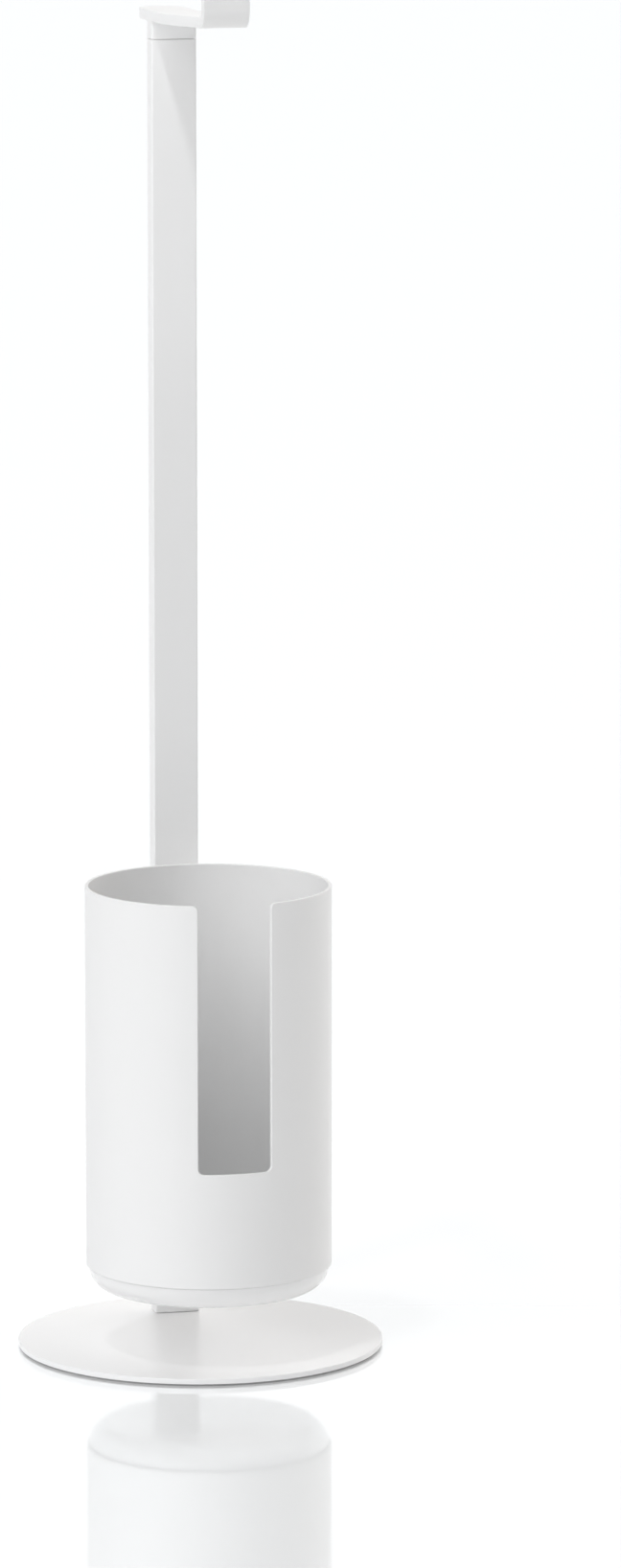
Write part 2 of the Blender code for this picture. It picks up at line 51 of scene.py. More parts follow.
# Camera, as fitted to the photograph
CAMERA_PLACE = (-912.8 * MM, -4069.3 * MM, 1000.5 * MM)
CAMERA_DOWN = math.radians(9.377)
CAMERA_LEFT = math.radians(13.475)
CAMERA_LENS = 178.46

# Sizes read from the frame
BASE_LOW, BASE_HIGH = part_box("base_plate")
PAD_LOW, PAD_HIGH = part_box("base_pad")
POST_LOW, POST_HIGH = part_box("post_tube")
BLOCK_LOW, BLOCK_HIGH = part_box("foot_block")
ARM_LOW, ARM_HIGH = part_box("arm")
TUBE_LOW, TUBE_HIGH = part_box("canister_tube")
DISH_LOW, DISH_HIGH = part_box("canister_dish")
POST_WIDTH = POST_HIGH.x - POST_LOW.x
POST_DEPTH = POST_HIGH.y - POST_LOW.y
POST_MIDDLE = (POST_HIGH.y + POST_LOW.y) / 2
TUBE_RADIUS = TUBE_HIGH.x
TUBE_AXIS = TUBE_HIGH.y - TUBE_RADIUS
LEVELS = ("upper", "lower")
SIDES = ("left", "right")

# Sizes that the frame's boxes don't give
SEAT_GAP = 0.3 * MM
OVERRUN = 3 * MM
CLEARANCE = 0.3 * MM
PAD_ACCESS_MARGIN = 0.8 * MM
PAD_EDGE = 0.2 * MM
DISC_EDGE = 0.5 * MM
POST_WALL = 1.5 * MM
POST_CORNER = 1 * MM
BORE_CORNER = 0.5 * MM
CUT_END_EDGE = 0.25 * MM
ARM_THICKNESS = 6 * MM
ARM_EDGE = 0.5 * MM
ARM_RISE_START = 4 * MM
ARM_RISE_RADIUS = 900 * MM
ARM_RISE_ANGLE = math.radians(2.5)
ARM_BEND_RADIUS = 9.5 * MM
NECK_HEIGHT = 9.5 * MM
NECK_FILLET = 1.3 * MM
NECK_SINK = 1 * MM
NECK_SHY = 0.01 * MM
TUBE_WALL = 2 * MM
TUBE_EDGE = 0.5 * MM
SLOT_WIDTH = 40.5 * MM
SLOT_DEPTH = 146.6 * MM
SLOT_TOP_RADIUS = 3 * MM
SLOT_LOW_RADIUS = 3.3 * MM
DISH_CORNER = 12 * MM
DISH_WALL = 2 * MM
DISH_SHOULDER = 12.5 * MM
DISH_EDGE = 0.4 * MM
SPACER_EDGE = 0.8 * MM
M5_RADIUS = 2.5 * MM
M4_RADIUS = 2 * MM
M5_PITCH = 0.8 * MM
M4_PITCH = 0.7 * MM
THREAD_DEPTH_SHARE = 0.6
SCREW_CHAMFER = 0.5 * MM
SCREW_EDGE = 0.15 * MM
KEY_DEPTH_SHARE = 0.6
DOME_ANGLE = math.radians(50)
FOOT_HEAD_HEIGHT = 2.5 * MM
FOOT_HEAD_RIM = 0.3 * MM
FOOT_KEY = 3 * MM
CANISTER_HEAD_HEIGHT = 2.7 * MM
CANISTER_KEY = 3 * MM
ARM_HEAD_HEIGHT = 2.2 * MM
ARM_KEY = 2.5 * MM
NUT_RADIUS = 3.5 * MM
NUT_FLANGE_THICKNESS = 0.8 * MM
NUT_BULGE_RADIUS = 4.5 * MM
NUT_BULGE_LENGTH = 2 * MM

# Fineness
WIDE_SEGMENTS = 240
SCREW_SEGMENTS = 48
THREAD_ROWS = 6
KEY_SIDES = 6
ARC_STEPS = 10
EDGE_STEPS = 4
END_STEPS = 20
SHEET_STEP = 2.2 * MM
SHEET_ROW = 6 * MM
BEND_STEP = 0.5 * MM
WELD = 0.0005 * MM
SMOOTH_ANGLE = math.radians(32)

# Finish. The disc's white is painted light: lighter than the rest of the same coat, for the little more light
# that the disc takes
WHITE = (0.948, 0.95, 0.952)
DISC_PAINTED_LIGHT_WHITE = (0.98, 0.98, 0.985)
COAT_DRIFT = (0.994, 1.006)
NOISE_LOW = 0.3
NOISE_HIGH = 0.7
MIX_FIRST = 6
MIX_SECOND = 7
MIX_RESULT = 2

# Floor
FLOOR_REACH = 60
FLOOR_DROP = 0.01 * MM
FLOOR_WHITE = 0.9
FLOOR_ROUGHNESS = 0.055
FLOOR_TINT = (0.972, 0.987, 1)
FLOOR_BLEND = 0.5
FLOOR_MIRROR_POWER = 1.2
FLOOR_GLOW = 0.4

# Light. A lobe of the studio is (degrees left of the front, degrees up, strength)
SOFT_LOBES = ((70.5, 10, 0.55), (70.5, 45, 2.32), (20, 22, 1.19), (193.5, 12, 2.55))
WARM_LOBES = ((-95, 45, 0.72), (-113.5, 12, 2.45))
WARM = (1.04, 1.0, 0.96)
SOFT_POWER = 10
KEY_PLACE = (-0.152, -0.35, 1.21)
KEY_AIM = (0, 0.3, 0.5)
KEY_POWER = 2.1
KEY_RADIUS = 0.018
KEY_CONE = math.radians(28)
KEY_FADE = 0.6
SUN_DIRECTION = (0.30, 0.28, -1)
SUN_STRENGTH = 0.46
SUN_SPREAD = math.radians(4)

TO_BACK = Matrix.Rotation(-QUARTER, 4, "X")
TO_FRONT = Matrix.Rotation(QUARTER, 4, "X")


def arc(centre, radius, start, end, steps=ARC_STEPS):
    """Points along an arc between two angles, both ends included."""
    angles = [start + (end - start) * i / steps for i in range(steps + 1)]
    return [(centre[0] + radius * math.cos(a), centre[1] + radius * math.sin(a)) for a in angles]


def rounded_rectangle(width, depth, radius, z):
    """A ring of points at a height: a rectangle about the axis, with round corners."""
    x, y = width / 2 - radius, depth / 2 - radius
    points = []
    for i, corner in enumerate(((x, y), (-x, y), (-x, -y), (x, -y))):
        points += arc(corner, radius, i * QUARTER, (i + 1) * QUARTER)
    return [(px, py, z) for px, py in points]


def edge_rows(low, high, edge):
    """(inset, height) up a side whose lower and upper edges are round."""
    turns = [QUARTER * i / EDGE_STEPS for i in range(EDGE_STEPS + 1)]
    rise = [(edge * (1 - math.sin(a)), edge * (1 - math.cos(a))) for a in turns]
    return [(d, low + h) for d, h in rise] + [(d, high - h) for d, h in reversed(rise)]


def loft(name, rings, closed=False):
    """A mesh through rings of points. Its ends are capped, or where it is closed the last joins the first."""
    count = len(rings[0])
    pairs = [(i, i + 1) for i in range(len(rings) - 1)]
    if closed:
        pairs.append((len(rings) - 1, 0))
    faces = []
    for a, b in pairs:
        for k in range(count):
            n = (k + 1) % count
            faces.append((a * count + k, a * count + n, b * count + n, b * count + k))
    if not closed:
        faces.append(tuple(range(count - 1, -1, -1)))
        faces.append(tuple((len(rings) - 1) * count + k for k in range(count)))
    mesh = bpy.data.meshes.new(name)
    mesh.from_pydata([p for ring in rings for p in ring], [], faces)
    return mesh


def spun(name, rows, segments=SCREW_SEGMENTS, closed=False):
    """A mesh from rows of (radius, height) up its outer side. A radius may be a function of the angle."""
    rings = []
    for radius, z in rows:
        angles = [TURN * k / segments for k in range(segments)]
        radii = [radius(a) if callable(radius) else radius for a in angles]
        rings.append([(r * math.cos(a), r * math.sin(a), z) for r, a in zip(radii, angles)])
    return loft(name, rings, closed)


def solid(mesh, turn=None, place=(0, 0, 0)):
    """An object for the mesh, whose turn and place go into the mesh."""
    mesh.transform(Matrix.Translation(place) @ (turn or Matrix.Identity(4)))
    piece = bpy.data.objects.new(mesh.name, mesh)
    bpy.context.scene.collection.objects.link(piece)
    return piece


def combine(piece, mesh, turn=None, place=(0, 0, 0), operation="DIFFERENCE"):
    """Cuts the piece by a closed mesh, or joins the mesh to it."""
    tool = solid(mesh, turn, place)
    change = piece.modifiers.new("combine", "BOOLEAN")
    change.operation = operation
    change.solver = "EXACT"
    change.object = tool
    bpy.context.view_layer.update()
    result = piece.evaluated_get(bpy.context.evaluated_depsgraph_get())
    piece.data = bpy.data.meshes.new_from_object(result)
    piece.modifiers.clear()
    bpy.data.objects.remove(tool)


def drill(piece, radius, length, turn, place):
    """Cuts a round hole that starts at its place and runs along its own +Z."""
    combine(piece, spun("drill", [(radius, 0), (radius, length)]), turn, place)


def dress(piece, node, slot, shaded=False, finish=None):
    """The piece stands for a CAD node, rides on the stand, and gets its slot's finish and smooth faces."""
    piece.name = "fine_" + node
    piece.data.materials.clear()
    piece.data.materials.append(FINISHES[finish or slot])
    if not shaded:
        piece.data.shade_smooth()
        piece.data.set_sharp_from_angle(angle=SMOOTH_ANGLE)
        even = piece.modifiers.new("even", "WEIGHTED_NORMAL")
        even.keep_sharp = True
    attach(piece, "root")
    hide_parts(node)


def spaced(start, end, step):
    """Values from start to end, both included, about a step apart."""
    count = max(1, round(abs(end - start) / step))
    return [start + (end - start) * i / count for i in range(count + 1)]


def border_line(start, end, step):
    """(u, v, inward normal) along a straight border with the sheet on its left, without its last point."""
    length = math.dist(start, end)
    count = max(1, round(length / step))
    u, v = (end[0] - start[0]) / length, (end[1] - start[1]) / length
    steps = [length * i / count for i in range(count)]
    return [(start[0] + u * s, start[1] + v * s, -v, u) for s in steps]


def border_arc(centre, radius, start, end, side, steps=ARC_STEPS):
    """The same along an arc. Side is 1 where the sheet lies within the arc's circle, and -1 where outside."""
    points = arc(centre, radius, start, end, steps)[:-1]
    return [(u, v, side * (centre[0] - u) / radius, side * (centre[1] - v) / radius) for u, v in points]


def formed_sheet(name, borders, seam, grid, low, high, edge, form):
    """A sheet laid out flat in (u, v), with round edges, and bent by form(u, v, w).

    Each border is a list of (u, v, inward normal) and whether it closes. The first bounds the sheet, and
    later ones that close are round holes. seam is the two u that meet on the bent sheet and the v along
    them, or None. grid holds points for its faces, and low and high are w on its two sides.
    """
    profile = edge_rows(low, high, edge)
    points, normals, known = [], [], {}

    def vertex(u, v, w, turn):
        if seam and abs(u - seam[1]) < WELD:
            u = seam[0]
        key = tuple(round(x / WELD) for x in (u, v, w))
        if key not in known:
            known[key] = len(points)
            points.append(form(u, v, w))
            out = form(*(x + t * edge for x, t in zip((u, v, w), turn)))
            normals.append((out - points[-1]).normalized())
        return known[key]

    flat, outline, cuts, faces = [], [], [], []
    for number, (border, closes) in enumerate(borders):
        count = len(border)
        numbers = list(range(len(flat), len(flat) + count))
        if closes and number:
            cuts.append(numbers[::-1])
        else:
            outline.append(numbers)
        flat += [(u + a * edge, v + b * edge) for u, v, a, b in border]
        strips = []
        for u, v, a, b in border:
            strip = []
            for d, w in profile:
                out = 1 - d / edge
                up = math.copysign(math.sqrt(1 - out**2), w - (low + high) / 2)
                strip.append(vertex(u + a * d, v + b * d, w, (-a * out, -b * out, up)))
            strips.append(strip)
        for i in range(count if closes else count - 1):
            here, there = strips[i], strips[(i + 1) % count]
            for k in range(len(profile) - 1):
                faces.append((here[k + 1], here[k], there[k], there[k + 1]))
    if seam:
        for u in seam[:2]:
            outline.append(list(range(len(flat), len(flat) + len(seam[2]))))
            flat += [(u, v) for v in seam[2]]
        lower, upper, first, last = outline
        outline = [lower + last + upper + first[::-1]]
    taken = np.array(flat)
    flat += [p for p in grid if np.hypot(*(taken - p).T).min() > SHEET_STEP / 2]
    found = delaunay_2d_cdt([Vector(p) for p in flat], [], outline + cuts, 0, WELD, True)
    for face, owners in zip(found[2], found[5]):
        if owners != [0]:
            continue
        corners = [flat[found[3][i][0]] for i in face]
        (au, av), (bu, bv), (cu, cv) = corners
        if (bu - au) * (cv - av) < (bv - av) * (cu - au):
            corners.reverse()
        faces.append(tuple(vertex(u, v, high, (0, 0, 1)) for u, v in corners))
        faces.append(tuple(vertex(u, v, low, (0, 0, -1)) for u, v in reversed(corners)))
    mesh = bpy.data.meshes.new(name)
    mesh.from_pydata(points, [], faces)
    mesh.shade_smooth()
    mesh.normals_split_custom_set_from_vertices(normals)
    return mesh


def middle_of(node):
    """The centre of a CAD node's box."""
    low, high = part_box(node)
    return (low + high) / 2


def make_tube():
    """The canister's tube, cut flat with its slot and rolled."""
    low, high = TUBE_LOW.z, TUBE_HIGH.z
    around, front = TURN * TUBE_RADIUS, 3 * QUARTER * TUBE_RADIUS
    half = TUBE_RADIUS * math.asin(SLOT_WIDTH / 2 / TUBE_RADIUS)
    left, right, bottom = front - half, front + half, high - SLOT_DEPTH
    top, foot = SLOT_TOP_RADIUS, SLOT_LOW_RADIUS
    lower = border_line((0, low), (around, low), SHEET_STEP) + [(around, low, 0, 1)]
    upper = border_line((around, high), (right + top, high), SHEET_STEP)
    upper += border_arc((right + top, high - top), top, QUARTER, 2 * QUARTER, 1)
    upper += border_line((right, high - top), (right, bottom + foot), SHEET_ROW)
    upper += border_arc((right - foot, bottom + foot), foot, 0, -QUARTER, -1)
    upper += border_line((right - foot, bottom), (left + foot, bottom), SHEET_STEP)
    upper += border_arc((left + foot, bottom + foot), foot, -QUARTER, -2 * QUARTER, -1)
    upper += border_line((left, bottom + foot), (left, high - top), SHEET_ROW)
    upper += border_arc((left - top, high - top), top, 0, QUARTER, 1)
    upper += border_line((left - top, high), (0, high), SHEET_STEP) + [(0, high, 0, -1)]
    borders = [(lower, False), (upper, False)]
    for level in LEVELS:
        centre = (QUARTER * TUBE_RADIUS, middle_of("canister_washer_" + level).z)
        borders.append((border_arc(centre, M5_RADIUS + CLEARANCE, 0, -TURN, -1, SCREW_SEGMENTS // 2), True))
    rows = spaced(low, high, SHEET_ROW)[1:-1]
    grid = [(u, v) for u in spaced(0, around, SHEET_STEP) for v in rows]

    def rolled(u, v, w):
        angle = u / TUBE_RADIUS
        radius = TUBE_RADIUS + w
        return Vector((radius * math.cos(angle), TUBE_AXIS + radius * math.sin(angle), v))

    mesh = formed_sheet("tube", borders, (0, around, rows), grid, -TUBE_WALL, 0, TUBE_EDGE, rolled)
    dress(solid(mesh), "canister_tube", "powder_coat", shaded=True)


def make_dish():
    """The pressed dish: a wall with a round foot, and the collar that goes up into the tube."""
    radius, low, high = DISH_HIGH.x, DISH_LOW.z, DISH_HIGH.z
    collar = TUBE_RADIUS - TUBE_WALL - SEAT_GAP
    inside = collar - DISH_WALL
    shoulder = low + DISH_SHOULDER
    fillet = DISH_CORNER - DISH_WALL
    rows = arc((radius - DISH_CORNER, low + DISH_CORNER), DISH_CORNER, -QUARTER, 0, END_STEPS)[:-1]
    edge = DISH_EDGE
    rows += arc((radius - edge, shoulder - edge), edge, 0, QUARTER, EDGE_STEPS)
    rows += [(collar, shoulder)]
    rows += arc((collar - edge, high - edge), edge, 0, QUARTER, EDGE_STEPS)
    rows += arc((inside + edge, high - edge), edge, QUARTER, 2 * QUARTER, EDGE_STEPS)
    rows += arc((inside - fillet, low + DISH_CORNER), fillet, 0, -QUARTER, END_STEPS)
    dish = solid(spun("dish", rows, WIDE_SEGMENTS), place=(0, TUBE_AXIS, 0))
    dress(dish, "canister_dish", "powder_coat", finish="dish_coat")


def make_base():
    """The disc with its two countersunk holes, and the pad with its opening for the screws."""
    radius = BASE_HIGH.x
    rows = [(radius - d, z) for d, z in edge_rows(BASE_LOW.z, BASE_HIGH.z, DISC_EDGE)]
    disc = solid(spun("disc", rows, WIDE_SEGMENTS))
    head = foot_head_radius() + CLEARANCE
    shank = M5_RADIUS + CLEARANCE
    hole = [(head, -OVERRUN), (head, FOOT_HEAD_RIM), (shank, FOOT_HEAD_HEIGHT), (shank, 2 * OVERRUN)]
    for side in SIDES:
        place = (middle_of("foot_screw_" + side).x, POST_MIDDLE, BASE_LOW.z)
        combine(disc, spun("hole", hole), place=place)
    dress(disc, "base_plate", "powder_coat", finish="disc_coat")

    rows = [(PAD_HIGH.x - d, z) for d, z in edge_rows(PAD_LOW.z, PAD_HIGH.z, PAD_EDGE)]
    pad = solid(spun("pad", rows, WIDE_SEGMENTS))
    reach = foot_head_radius() + PAD_ACCESS_MARGIN
    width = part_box("foot_screw_right")[1].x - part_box("foot_screw_left")[0].x + 2 * PAD_ACCESS_MARGIN
    rings = [rounded_rectangle(width, 2 * reach, reach - WELD, z) for z in (-OVERRUN, OVERRUN)]
    combine(pad, loft("access", rings), place=(0, POST_MIDDLE, 0))
    dress(pad, "base_pad", "rubber_pad")


def foot_head_radius():
    """The radius of a foot screw's head."""
    low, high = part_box("foot_screw_left")
    return (high.x - low.x) / 2


def make_post():
    """The rectangular tube, with its cut ends rounded a little, and the block in its foot."""
    low, high = POST_LOW.z, POST_HIGH.z
    rings = []
    for d, z in edge_rows(low, high, CUT_END_EDGE):
        rings.append(rounded_rectangle(POST_WIDTH - 2 * d, POST_DEPTH - 2 * d, POST_CORNER - d, z))
    width, depth = POST_WIDTH - 2 * POST_WALL, POST_DEPTH - 2 * POST_WALL
    for d, z in reversed(edge_rows(low, high, CUT_END_EDGE)):
        rings.append(rounded_rectangle(width + 2 * d, depth + 2 * d, BORE_CORNER + d, z))
    post = solid(loft("post", rings, closed=True), place=(0, POST_MIDDLE, 0))
    length = POST_WALL + 2 * OVERRUN
    for level in LEVELS:
        z = middle_of("rivet_nut_" + level).z
        drill(post, NUT_RADIUS + CLEARANCE, length, TO_BACK, (0, POST_LOW.y - OVERRUN, z))
        z = middle_of("arm_screw_" + level).z
        drill(post, M4_RADIUS + CLEARANCE, length, TO_FRONT, (0, POST_HIGH.y + OVERRUN, z))
    dress(post, "post_tube", "powder_coat")

    width, depth = BLOCK_HIGH.x - BLOCK_LOW.x, BLOCK_HIGH.y - BLOCK_LOW.y
    rings = []
    for d, z in edge_rows(BLOCK_LOW.z, BLOCK_HIGH.z, CUT_END_EDGE):
        rings.append(rounded_rectangle(width - 2 * d, depth - 2 * d, BORE_CORNER, z))
    block = solid(loft("block", rings), place=(0, POST_MIDDLE, 0))
    for side in SIDES:
        place = (middle_of("foot_screw_" + side).x, POST_MIDDLE, BLOCK_LOW.z - OVERRUN)
        length = BLOCK_HIGH.z - BLOCK_LOW.z + 2 * OVERRUN
        drill(block, M5_RADIUS + CLEARANCE, length, None, place)
    dress(block, "foot_block", "zinc_steel")


def make_arm():
    """The bent bar with half-round ends, and the neck and tongue that carry it."""
    half = (ARM_HIGH.x - ARM_LOW.x) / 2
    underside = POST_HIGH.z + SEAT_GAP + NECK_HEIGHT
    slope, bend = ARM_RISE_ANGLE, ARM_BEND_RADIUS
    level = ARM_HIGH.y - POST_LOW.y + ARM_RISE_START
    rise_y = POST_LOW.y - ARM_RISE_START - ARM_RISE_RADIUS * math.sin(slope)
    rise_z = ARM_RISE_RADIUS * (1 - math.cos(slope))
    run = rise_y - ARM_LOW.y - bend
    bend_z = rise_z + (bend + run * math.sin(slope)) / math.cos(slope)
    tip = ARM_HIGH.z - underside - bend_z
    straight = (run + bend * math.sin(slope)) / math.cos(slope)
    runs = [
        (level, 0, SHEET_STEP), (ARM_RISE_RADIUS * slope, slope, SHEET_STEP), (straight, 0, SHEET_STEP),
        (bend * (QUARTER - slope), QUARTER - slope, BEND_STEP), (tip, 0, SHEET_STEP),
    ]

    def bent(u, v, w):
        y, z, heading = ARM_HIGH.y, underside, 0
        for i, (length, turn, _) in enumerate(runs):
            part = u if i == len(runs) - 1 else min(u, length)
            if turn:
                after = heading + turn * part / length
                y -= length / turn * (math.sin(after) - math.sin(heading))
                z += length / turn * (math.cos(heading) - math.cos(after))
                heading = after
            else:
                y -= part * math.cos(heading)
                z += part * math.sin(heading)
            u -= part
            if u <= 0:
                break
        return Vector((v, y + w * math.sin(heading), z + w * math.cos(heading)))

    stops = [0]
    for length, _, step in runs:
        stops += spaced(stops[-1], stops[-1] + length, step)[1:]
    total = stops[-1]
    sides = [half] + [u for u in stops if half + WELD < u < total - half - WELD] + [total - half]
    border = [(u, -half, 0, 1) for u in sides[:-1]]
    border += border_arc((total - half, 0), half, -QUARTER, QUARTER, 1, END_STEPS)
    border += [(u, half, 0, -1) for u in reversed(sides[1:])]
    border += border_arc((half, 0), half, QUARTER, 3 * QUARTER, 1, END_STEPS)
    grid = [(u, v) for u in stops for v in spaced(-half, half, SHEET_STEP)[1:-1]]
    mesh = formed_sheet("bar", [(border, True)], None, grid, 0, ARM_THICKNESS, ARM_EDGE, bent)
    arm = solid(mesh)

    low = POST_HIGH.z + SEAT_GAP
    width, depth = BLOCK_HIGH.x - BLOCK_LOW.x, BLOCK_HIGH.y - BLOCK_LOW.y
    rings = []
    for d, z in edge_rows(ARM_LOW.z, low, CUT_END_EDGE)[:-EDGE_STEPS - 1]:
        rings.append(rounded_rectangle(width - 2 * d, depth - 2 * d, BORE_CORNER, z))
    rings.append(rounded_rectangle(width, depth, BORE_CORNER, low))
    width = POST_WIDTH - 2 * NECK_SHY
    for d, z in edge_rows(low, underside, CUT_END_EDGE)[:EDGE_STEPS + 1]:
        rings.append(rounded_rectangle(width - 2 * d, POST_DEPTH - 2 * d, POST_CORNER - d, z))
    for flare, z in arc((NECK_FILLET, underside - NECK_FILLET), NECK_FILLET, 2 * QUARTER, QUARTER):
        rings.append(rounded_rectangle(width, POST_DEPTH + 2 * flare, POST_CORNER, z))
    rings.append(rounded_rectangle(width, POST_DEPTH + 2 * NECK_FILLET, POST_CORNER, underside + NECK_SINK))
    combine(arm, loft("neck", rings), place=(0, POST_MIDDLE, 0), operation="UNION")
    for level in LEVELS:
        place = (0, POST_HIGH.y + OVERRUN, middle_of("arm_screw_" + level).z)
        drill(arm, M4_RADIUS + CLEARANCE, POST_DEPTH + 2 * OVERRUN, TO_FRONT, place)
    dress(arm, "arm", "powder_coat")


def threaded(radius, low, high, pitch):
    """Rows of a right-hand thread that runs out at both ends."""
    count = round((high - low) / pitch * THREAD_ROWS)
    rows = []
    for i in range(count + 1):
        z = low + (high - low) * i / count
        depth = pitch * THREAD_DEPTH_SHARE * min(1, (z - low) / pitch, (high - z) / pitch)

        def groove(angle, z=z, depth=depth):
            return radius - depth * abs(2 * ((z / pitch - angle / TURN) % 1) - 1)

        rows.append((groove, z))
    return rows


def hexagon(across):
    """The radius of a hexagon at an angle, from its size across its flats."""
    side = TURN / KEY_SIDES
    return lambda angle: across / 2 / math.cos((angle + side / 2) % side - side / 2)


def key_rows(across, top, floor):
    """Rows of the hexagonal recess in a screw's head, from its opening to its floor."""
    mouth = across / 2 / math.cos(math.pi / KEY_SIDES)
    step = math.copysign(SCREW_EDGE, floor - top)
    return [(mouth + SCREW_EDGE, top), (hexagon(across), top + step), (hexagon(across), floor)]


def make_button_screw(node, radius, pitch, length, head_height, key, turn):
    """A button-head screw, whose shank is threaded right up to its head."""
    low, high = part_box(node)
    middle = (low + high) / 2
    head = (high.x - low.x) / 2
    rows = [(radius - SCREW_CHAMFER, -length), *threaded(radius, SCREW_CHAMFER - length, 0, pitch)]
    rows += [(head - SCREW_EDGE, 0), (head, SCREW_EDGE)]
    dome = head / math.sin(DOME_ANGLE)
    mouth = key_rows(key, head_height, head_height * (1 - KEY_DEPTH_SHARE))
    rows += arc((0, head_height - dome), dome, QUARTER - DOME_ANGLE, math.acos(mouth[0][0] / dome))
    rows += mouth[1:]
    seat = high.y - head_height if turn is TO_BACK else low.y + head_height
    dress(solid(spun("screw", rows), turn, (0, seat, middle.z)), node, "zinc_steel")


def make_screws():
    """The screws of foot, arm and canister, with the canister's washers."""
    for side in SIDES:
        node = "foot_screw_" + side
        low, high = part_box(node)
        head, length = foot_head_radius(), high.z - low.z
        rows = key_rows(FOOT_KEY, 0, FOOT_HEAD_HEIGHT * KEY_DEPTH_SHARE)[::-1]
        rows += [(head - SCREW_EDGE, 0), (head, SCREW_EDGE), (head, FOOT_HEAD_RIM)]
        rows += threaded(M5_RADIUS, FOOT_HEAD_HEIGHT, length - SCREW_CHAMFER, M5_PITCH)
        rows += [(M5_RADIUS - SCREW_CHAMFER, length)]
        place = ((low.x + high.x) / 2, POST_MIDDLE, low.z)
        dress(solid(spun("screw", rows), place=place), node, "zinc_steel")
    for level in LEVELS:
        node = "arm_screw_" + level
        low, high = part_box(node)
        length = high.y - low.y - ARM_HEAD_HEIGHT
        make_button_screw(node, M4_RADIUS, M4_PITCH, length, ARM_HEAD_HEIGHT, ARM_KEY, TO_BACK)
        node = "canister_screw_" + level
        low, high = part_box(node)
        length = high.y - low.y - CANISTER_HEAD_HEIGHT
        make_button_screw(node, M5_RADIUS, M5_PITCH, length, CANISTER_HEAD_HEIGHT, CANISTER_KEY, TO_FRONT)

        node = "canister_washer_" + level
        low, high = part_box(node)
        sides = edge_rows(0, high.y - low.y, SCREW_EDGE)
        rows = [((high.x - low.x) / 2 - d, z) for d, z in sides]
        rows += [(M5_RADIUS + CLEARANCE + d, z) for d, z in reversed(sides)]
        place = (0, low.y, middle_of(node).z)
        dress(solid(spun("washer", rows, closed=True), TO_BACK, place), node, "zinc_steel")


def make_spacers():
    """The moulded blocks behind the canister, with the rivet nuts that its screws turn into."""
    for level in LEVELS:
        node = "canister_spacer_" + level
        low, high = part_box(node)
        place = (0, low.y, middle_of(node).z)
        rings = []
        for d, z in edge_rows(0, high.y - low.y, SPACER_EDGE):
            width, height = high.x - low.x - 2 * d, high.z - low.z - 2 * d
            rings.append(rounded_rectangle(width, height, SPACER_EDGE * 2 - d, z))
        spacer = solid(loft("spacer", rings), TO_BACK, place)
        rows = [(TUBE_RADIUS + SEAT_GAP, low.z - OVERRUN), (TUBE_RADIUS + SEAT_GAP, high.z + OVERRUN)]
        combine(spacer, spun("hollow", rows, 2 * WIDE_SEGMENTS), place=(0, TUBE_AXIS, 0))
        place = (0, TUBE_HIGH.y - OVERRUN, middle_of(node).z)
        drill(spacer, M5_RADIUS + CLEARANCE, high.y - low.y + 2 * OVERRUN, TO_BACK, place)

        nut = "rivet_nut_" + level
        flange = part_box(nut)[1].x
        depth = NUT_FLANGE_THICKNESS + 2 * SEAT_GAP
        place = (0, POST_LOW.y - depth, middle_of(node).z)
        drill(spacer, flange + CLEARANCE, depth + OVERRUN, TO_BACK, place)
        dress(spacer, node, "moulded_plastic")

        wall_end = POST_WALL + 2 * SEAT_GAP
        bore, edge = M5_RADIUS + CLEARANCE, SCREW_EDGE
        rows = [(flange - d, z - NUT_FLANGE_THICKNESS) for d, z in edge_rows(0, NUT_FLANGE_THICKNESS, edge)]
        rows += [(NUT_RADIUS, 0), (NUT_RADIUS, wall_end)]
        rows += [(NUT_BULGE_RADIUS - d, z)
                 for d, z in edge_rows(wall_end, wall_end + NUT_BULGE_LENGTH, NUT_BULGE_LENGTH / 3)]
        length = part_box(nut)[1].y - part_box(nut)[0].y - NUT_FLANGE_THICKNESS
        rows += [(NUT_RADIUS, wall_end + NUT_BULGE_LENGTH), (NUT_RADIUS, length)]
        rows += [(bore, length), (bore, -NUT_FLANGE_THICKNESS)]
        place = (0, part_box(nut)[0].y + NUT_FLANGE_THICKNESS, middle_of(nut).z)
        dress(solid(spun("nut", rows, closed=True), TO_BACK, place), nut, "zinc_steel")


def add_node(tree, kind, inputs, **settings):
    """A shader node. An input is a value for its socket, or another node's socket to link to it."""
    made = tree.nodes.new("ShaderNode" + kind)
    for name, value in settings.items():
        setattr(made, name, value)
    for key, value in inputs.items():
        if isinstance(value, bpy.types.NodeSocket):
            tree.links.new(value, made.inputs[key])
        else:
            made.inputs[key].default_value = value
    return made


def new_material(name, **values):
    """A material, its tree and its shader, with values set on the shader's sockets."""
    material = bpy.data.materials.new(name)
    material.use_nodes = True
    tree = material.node_tree
    shader = tree.nodes["Principled BSDF"]
    for key, value in values.items():
        shader.inputs[key.replace("_", " ")].default_value = value
    return material, tree, shader


def noise(tree, place, wavelength, detail=2.0, roughness=0.5):
    """A noise whose features are about a wavelength across."""
    inputs = {"Vector": place, "Scale": 1 / wavelength, "Detail": detail, "Roughness": roughness}
    return add_node(tree, "TexNoise", inputs).outputs["Fac"]


def spread(tree, value, low, high):
    """Maps the middle of a noise's range to the values between low and high."""
    inputs = {"Value": value, "From Min": NOISE_LOW, "From Max": NOISE_HIGH, "To Min": low, "To Max": high}
    return add_node(tree, "MapRange", inputs).outputs["Result"]


def tinted(tree, value, dark, light):
    """A colour between two that follows a value from 0 to 1."""
    inputs = {"Factor": value, MIX_FIRST: (*dark, 1), MIX_SECOND: (*light, 1)}
    return add_node(tree, "Mix", inputs, data_type="RGBA").outputs[MIX_RESULT]


